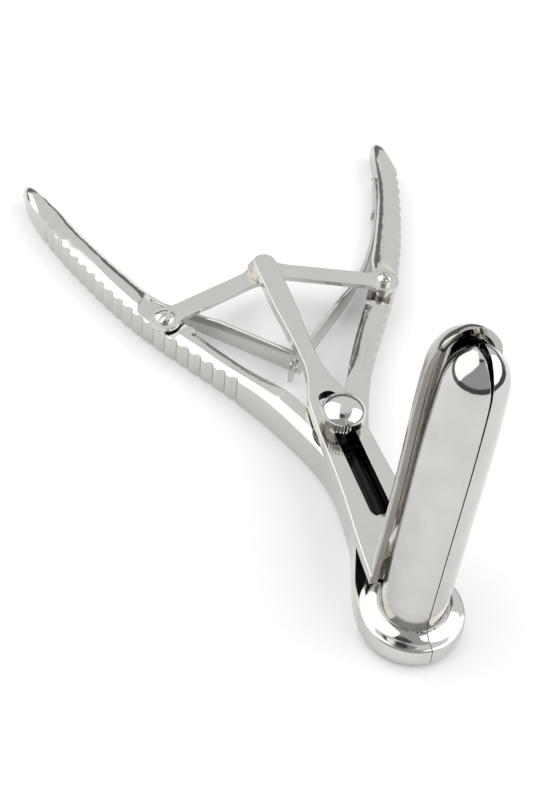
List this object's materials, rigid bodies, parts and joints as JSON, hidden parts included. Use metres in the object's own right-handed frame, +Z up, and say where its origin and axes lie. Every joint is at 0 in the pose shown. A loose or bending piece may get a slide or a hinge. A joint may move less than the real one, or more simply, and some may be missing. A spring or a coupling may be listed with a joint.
{
  "type": "rectal speculum",
  "caption": "Hand-held rectal speculum with blades upright at one end, ribbed squeeze handles, leaf springs, and a slotted slide that draws back the third blade.",
  "frame": {"origin": "on the axis of the blade ring's bore, in the plane the instrument rests on", "axes": "+Z up along the blades, +Y along the handles away from the blades, +X to the right handle"},
  "size_m": [0.1314, 0.208, 0.0995],
  "materials": {
    "steel": "satin",
    "bright": "polished"
  },
  "bodies": {
    "pivot": {"pivot_stud": "steel", "pivot_washer": "steel"},
    "left_arm": {"left_lever": "steel", "left_front_blade": "bright", "left_link_washer": "steel", "left_spring": "steel", "left_spring_screw": "steel"},
    "right_arm": {"right_lever": "steel", "right_front_blade": "bright", "right_link_spacer": "steel", "right_spring": "steel", "right_spring_screw": "steel"},
    "blade_bar": {"slotted_bar": "steel", "middle_blade": "bright", "bar_end_pin": "steel", "bar_end_screw": "steel"},
    "left_strut": {"left_link": "steel", "left_link_screw": "bright"},
    "right_strut": {"right_link": "steel", "right_link_screw": "bright"},
    "knob": {"thumb_knob": "bright"}
  },
  "joints": [
    {"name": "left_handle_squeeze", "type": "hinge", "parent": "pivot", "child": "left_arm", "pos_m": [0, 0.057, 0.006], "axis": [0, 0, -1], "range_deg": [0, 18.5], "stiffness_Nm_per_rad": 0.8, "springref_deg": -6.88, "deforming": ["left_spring"]},
    {"name": "right_handle_squeeze", "type": "hinge", "parent": "pivot", "child": "right_arm", "pos_m": [0, 0.057, 0.006], "axis": [0, 0, 1], "range_deg": [0, 18.5], "stiffness_Nm_per_rad": 0.8, "springref_deg": -6.88, "deforming": ["right_spring"]},
    {"name": "middle_blade_slide", "type": "slide", "parent": "pivot", "child": "blade_bar", "axis": [0, 1, 0], "range_m": [0, 0.0297]},
    {"name": "left_link_turn", "type": "hinge", "parent": "blade_bar", "child": "left_strut", "pos_m": [0, 0.1285, 0.0102], "axis": [0, 0, 1], "range_deg": [0, 45.04]},
    {"name": "right_link_turn", "type": "hinge", "parent": "blade_bar", "child": "right_strut", "pos_m": [0, 0.1285, 0.0117], "axis": [0, 0, -1], "range_deg": [0, 45.04]},
    {"name": "knob_turn", "type": "hinge", "parent": "pivot", "child": "knob", "pos_m": [0, 0.057, 0.019], "axis": [0, 0, 1], "range_deg": [0, 360]}
  ],
  "couplings": [
    {"joint": "right_handle_squeeze", "follows": "left_handle_squeeze", "ratio": 1},
    {"joint": "middle_blade_slide", "follows": "left_handle_squeeze", "m_per_rad": 0.091928},
    {"joint": "left_link_turn", "follows": "left_handle_squeeze", "ratio": 2.434},
    {"joint": "right_link_turn", "follows": "left_handle_squeeze", "ratio": 2.434}
  ]
}
